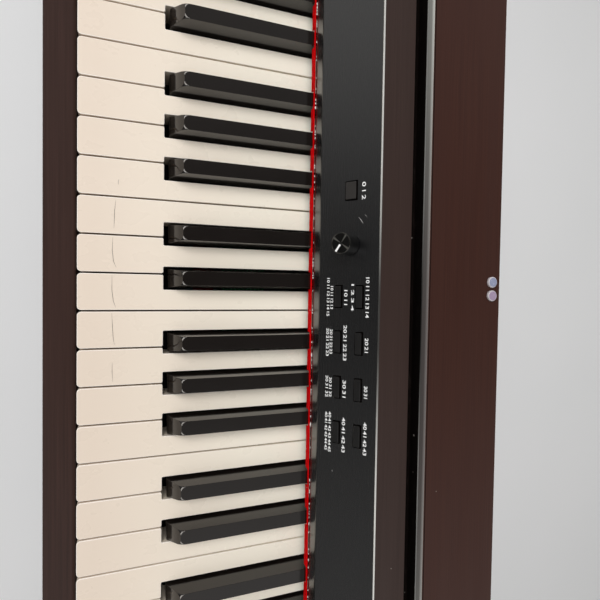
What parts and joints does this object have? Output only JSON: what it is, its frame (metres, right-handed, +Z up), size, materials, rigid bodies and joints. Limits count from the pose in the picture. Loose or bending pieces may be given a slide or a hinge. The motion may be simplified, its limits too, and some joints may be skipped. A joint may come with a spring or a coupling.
{
  "type": "digital piano on stand",
  "caption": "Console digital piano with a full keyboard, sloping black control panel with buttons and a volume knob, slotted top, and a stand with pedals.",
  "frame": {"origin": "on the floor, under the middle of the footprint", "axes": "+X along the keyboard towards the treble, +Y to the rear, away from the player, +Z up"},
  "size_m": [1.37, 0.38, 0.7991],
  "materials": {
    "cabinet_foil": "dark brown wood-grain foil on fibreboard, satin",
    "top_foil": "dark brown wood-grain foil on fibreboard, satin",
    "white_key_abs": "moulded, semi-gloss ivory white",
    "black_key_abs": "moulded, glossy black",
    "panel_aluminium": "brushed, anodised black",
    "trim_aluminium": "brushed, bright",
    "name_felt": "pressed wool felt, red",
    "knob_metal": "spun, anodised black, white pointer",
    "button_abs": "moulded, fine matt texture",
    "clear_pu": "clear polyurethane, domed",
    "bolt_steel": "black oxide",
    "circuit_board": "green solder mask with black parts",
    "frame_abs": "moulded, matt dark grey",
    "rod_steel": "ground",
    "stop_felt": "pressed wool felt, dark red",
    "speaker_black": "pressed frame and coated paper cone, black",
    "housing_abs": "moulded, fine matt texture, black",
    "pedal_brass": "polished",
    "foot_rubber": "moulded, matt"
  },
  "bodies": {
    "cabinet": {"left_side_panel": "cabinet_foil", "right_side_panel": "cabinet_foil", "left_foot_block": "cabinet_foil", "right_foot_block": "cabinet_foil", "key_bed": "cabinet_foil", "key_slip": "cabinet_foil", "left_end_block": "cabinet_foil", "right_end_block": "cabinet_foil", "rear_board": "cabinet_foil", "top_front_rail": "top_foil", "top_board": "top_foil", "clear_bumpers": "clear_pu", "cabinet_bolts": "bolt_steel", "control_panel": "panel_aluminium", "panel_trim": "trim_aluminium", "name_felt": "name_felt", "button_board": "circuit_board", "main_board": "circuit_board", "amplifier_board": "circuit_board", "speakers": "speaker_black", "speaker_grilles": "housing_abs", "rear_jack_plate": "housing_abs", "headphone_box": "housing_abs", "modesty_panel": "cabinet_foil", "pedal_box": "cabinet_foil", "pedal_pivot_rod": "rod_steel", "key_frame": "frame_abs", "key_pivot_rod": "rod_steel", "contact_board": "circuit_board", "key_stop_felts": "stop_felt"},
    "bass_white_key_group": {"bass_white_keys": "white_key_abs"},
    "bass_black_key_group": {"bass_black_keys": "black_key_abs"},
    "treble_white_key_group": {"treble_white_keys": "white_key_abs"},
    "treble_black_key_group": {"treble_black_keys": "black_key_abs"},
    "key_c": {"key_c": "white_key_abs"},
    "key_c_sharp": {"key_c_sharp": "black_key_abs"},
    "key_d": {"key_d": "white_key_abs"},
    "key_d_sharp": {"key_d_sharp": "black_key_abs"},
    "key_e": {"key_e": "white_key_abs"},
    "key_f": {"key_f": "white_key_abs"},
    "key_f_sharp": {"key_f_sharp": "black_key_abs"},
    "key_g": {"key_g": "white_key_abs"},
    "key_g_sharp": {"key_g_sharp": "black_key_abs"},
    "key_a": {"key_a": "white_key_abs"},
    "key_a_sharp": {"key_a_sharp": "black_key_abs"},
    "key_b": {"key_b": "white_key_abs"},
    "power_button": {"power_button": "button_abs"},
    "front_row_button_1": {"front_row_button_1": "button_abs"},
    "front_row_button_2": {"front_row_button_2": "button_abs"},
    "front_row_button_3": {"front_row_button_3": "button_abs"},
    "front_row_button_4": {"front_row_button_4": "button_abs"},
    "rear_row_button_1": {"rear_row_button_1": "button_abs"},
    "rear_row_button_2": {"rear_row_button_2": "button_abs"},
    "rear_row_button_3": {"rear_row_button_3": "button_abs"},
    "rear_row_button_4": {"rear_row_button_4": "button_abs"},
    "volume_knob": {"volume_knob": "knob_metal"},
    "left_pedal": {"left_pedal": "pedal_brass"},
    "middle_pedal": {"middle_pedal": "pedal_brass"},
    "right_pedal": {"right_pedal": "pedal_brass"},
    "support_foot": {"support_foot": "foot_rubber"}
  },
  "joints": [
    {"name": "bass_white_key_group_press", "type": "hinge", "parent": "cabinet", "child": "bass_white_key_group", "pos_m": [0, 0.103, 0.72], "axis": [1, 0, 0], "range_deg": [0, 2.8], "stiffness_Nm_per_rad": 11.5, "springref_deg": -16.04},
    {"name": "bass_black_key_group_press", "type": "hinge", "parent": "cabinet", "child": "bass_black_key_group", "pos_m": [0, 0.103, 0.72], "axis": [1, 0, 0], "range_deg": [0, 2.8], "stiffness_Nm_per_rad": 8, "springref_deg": -16.04},
    {"name": "treble_white_key_group_press", "type": "hinge", "parent": "cabinet", "child": "treble_white_key_group", "pos_m": [0, 0.103, 0.72], "axis": [1, 0, 0], "range_deg": [0, 2.8], "stiffness_Nm_per_rad": 11, "springref_deg": -16.04},
    {"name": "treble_black_key_group_press", "type": "hinge", "parent": "cabinet", "child": "treble_black_key_group", "pos_m": [0, 0.103, 0.72], "axis": [1, 0, 0], "range_deg": [0, 2.8], "stiffness_Nm_per_rad": 7.5, "springref_deg": -16.04},
    {"name": "key_c_press", "type": "hinge", "parent": "cabinet", "child": "key_c", "pos_m": [0, 0.103, 0.72], "axis": [1, 0, 0], "range_deg": [0, 2.8], "stiffness_Nm_per_rad": 0.5, "springref_deg": -16.04},
    {"name": "key_c_sharp_press", "type": "hinge", "parent": "cabinet", "child": "key_c_sharp", "pos_m": [0, 0.103, 0.72], "axis": [1, 0, 0], "range_deg": [0, 2.8], "stiffness_Nm_per_rad": 0.5, "springref_deg": -16.04},
    {"name": "key_d_press", "type": "hinge", "parent": "cabinet", "child": "key_d", "pos_m": [0, 0.103, 0.72], "axis": [1, 0, 0], "range_deg": [0, 2.8], "stiffness_Nm_per_rad": 0.5, "springref_deg": -16.04},
    {"name": "key_d_sharp_press", "type": "hinge", "parent": "cabinet", "child": "key_d_sharp", "pos_m": [0, 0.103, 0.72], "axis": [1, 0, 0], "range_deg": [0, 2.8], "stiffness_Nm_per_rad": 0.5, "springref_deg": -16.04},
    {"name": "key_e_press", "type": "hinge", "parent": "cabinet", "child": "key_e", "pos_m": [0, 0.103, 0.72], "axis": [1, 0, 0], "range_deg": [0, 2.8], "stiffness_Nm_per_rad": 0.5, "springref_deg": -16.04},
    {"name": "key_f_press", "type": "hinge", "parent": "cabinet", "child": "key_f", "pos_m": [0, 0.103, 0.72], "axis": [1, 0, 0], "range_deg": [0, 2.8], "stiffness_Nm_per_rad": 0.5, "springref_deg": -16.04},
    {"name": "key_f_sharp_press", "type": "hinge", "parent": "cabinet", "child": "key_f_sharp", "pos_m": [0, 0.103, 0.72], "axis": [1, 0, 0], "range_deg": [0, 2.8], "stiffness_Nm_per_rad": 0.5, "springref_deg": -16.04},
    {"name": "key_g_press", "type": "hinge", "parent": "cabinet", "child": "key_g", "pos_m": [0, 0.103, 0.72], "axis": [1, 0, 0], "range_deg": [0, 2.8], "stiffness_Nm_per_rad": 0.5, "springref_deg": -16.04},
    {"name": "key_g_sharp_press", "type": "hinge", "parent": "cabinet", "child": "key_g_sharp", "pos_m": [0, 0.103, 0.72], "axis": [1, 0, 0], "range_deg": [0, 2.8], "stiffness_Nm_per_rad": 0.5, "springref_deg": -16.04},
    {"name": "key_a_press", "type": "hinge", "parent": "cabinet", "child": "key_a", "pos_m": [0, 0.103, 0.72], "axis": [1, 0, 0], "range_deg": [0, 2.8], "stiffness_Nm_per_rad": 0.5, "springref_deg": -16.04},
    {"name": "key_a_sharp_press", "type": "hinge", "parent": "cabinet", "child": "key_a_sharp", "pos_m": [0, 0.103, 0.72], "axis": [1, 0, 0], "range_deg": [0, 2.8], "stiffness_Nm_per_rad": 0.5, "springref_deg": -16.04},
    {"name": "key_b_press", "type": "hinge", "parent": "cabinet", "child": "key_b", "pos_m": [0, 0.103, 0.72], "axis": [1, 0, 0], "range_deg": [0, 2.8], "stiffness_Nm_per_rad": 0.5, "springref_deg": -16.04},
    {"name": "power_button_press", "type": "slide", "parent": "cabinet", "child": "power_button", "axis": [0, 0.8121, -0.5835], "range_m": [0, 0.0008], "stiffness_N_per_m": 800, "springref_m": -0.0006},
    {"name": "front_row_button_1_press", "type": "slide", "parent": "cabinet", "child": "front_row_button_1", "axis": [0, 0.8121, -0.5835], "range_m": [0, 0.0008], "stiffness_N_per_m": 800, "springref_m": -0.0006},
    {"name": "front_row_button_2_press", "type": "slide", "parent": "cabinet", "child": "front_row_button_2", "axis": [0, 0.8121, -0.5835], "range_m": [0, 0.0008], "stiffness_N_per_m": 800, "springref_m": -0.0006},
    {"name": "front_row_button_3_press", "type": "slide", "parent": "cabinet", "child": "front_row_button_3", "axis": [0, 0.8121, -0.5835], "range_m": [0, 0.0008], "stiffness_N_per_m": 800, "springref_m": -0.0006},
    {"name": "front_row_button_4_press", "type": "slide", "parent": "cabinet", "child": "front_row_button_4", "axis": [0, 0.8121, -0.5835], "range_m": [0, 0.0008], "stiffness_N_per_m": 800, "springref_m": -0.0006},
    {"name": "rear_row_button_1_press", "type": "slide", "parent": "cabinet", "child": "rear_row_button_1", "axis": [0, 0.8121, -0.5835], "range_m": [0, 0.0008], "stiffness_N_per_m": 800, "springref_m": -0.0006},
    {"name": "rear_row_button_2_press", "type": "slide", "parent": "cabinet", "child": "rear_row_button_2", "axis": [0, 0.8121, -0.5835], "range_m": [0, 0.0008], "stiffness_N_per_m": 800, "springref_m": -0.0006},
    {"name": "rear_row_button_3_press", "type": "slide", "parent": "cabinet", "child": "rear_row_button_3", "axis": [0, 0.8121, -0.5835], "range_m": [0, 0.0008], "stiffness_N_per_m": 800, "springref_m": -0.0006},
    {"name": "rear_row_button_4_press", "type": "slide", "parent": "cabinet", "child": "rear_row_button_4", "axis": [0, 0.8121, -0.5835], "range_m": [0, 0.0008], "stiffness_N_per_m": 800, "springref_m": -0.0006},
    {"name": "volume_turn", "type": "hinge", "parent": "cabinet", "child": "volume_knob", "pos_m": [-0.0435, 0.0603, 0.77452], "axis": [0, -0.8121, 0.5835], "range_deg": [-25, 275]},
    {"name": "left_pedal_press", "type": "hinge", "parent": "cabinet", "child": "left_pedal", "pos_m": [0, 0.1265, 0.073], "axis": [1, 0, 0], "range_deg": [0, 7], "stiffness_Nm_per_rad": 10, "springref_deg": -5.73},
    {"name": "middle_pedal_press", "type": "hinge", "parent": "cabinet", "child": "middle_pedal", "pos_m": [0, 0.1265, 0.073], "axis": [1, 0, 0], "range_deg": [0, 7], "stiffness_Nm_per_rad": 10, "springref_deg": -5.73},
    {"name": "right_pedal_press", "type": "hinge", "parent": "cabinet", "child": "right_pedal", "pos_m": [0, 0.1265, 0.073], "axis": [1, 0, 0], "range_deg": [0, 7], "stiffness_Nm_per_rad": 10, "springref_deg": -5.73},
    {"name": "support_foot_height", "type": "slide", "parent": "cabinet", "child": "support_foot", "axis": [0, 0, 1], "range_m": [0, 0.006]}
  ]
}
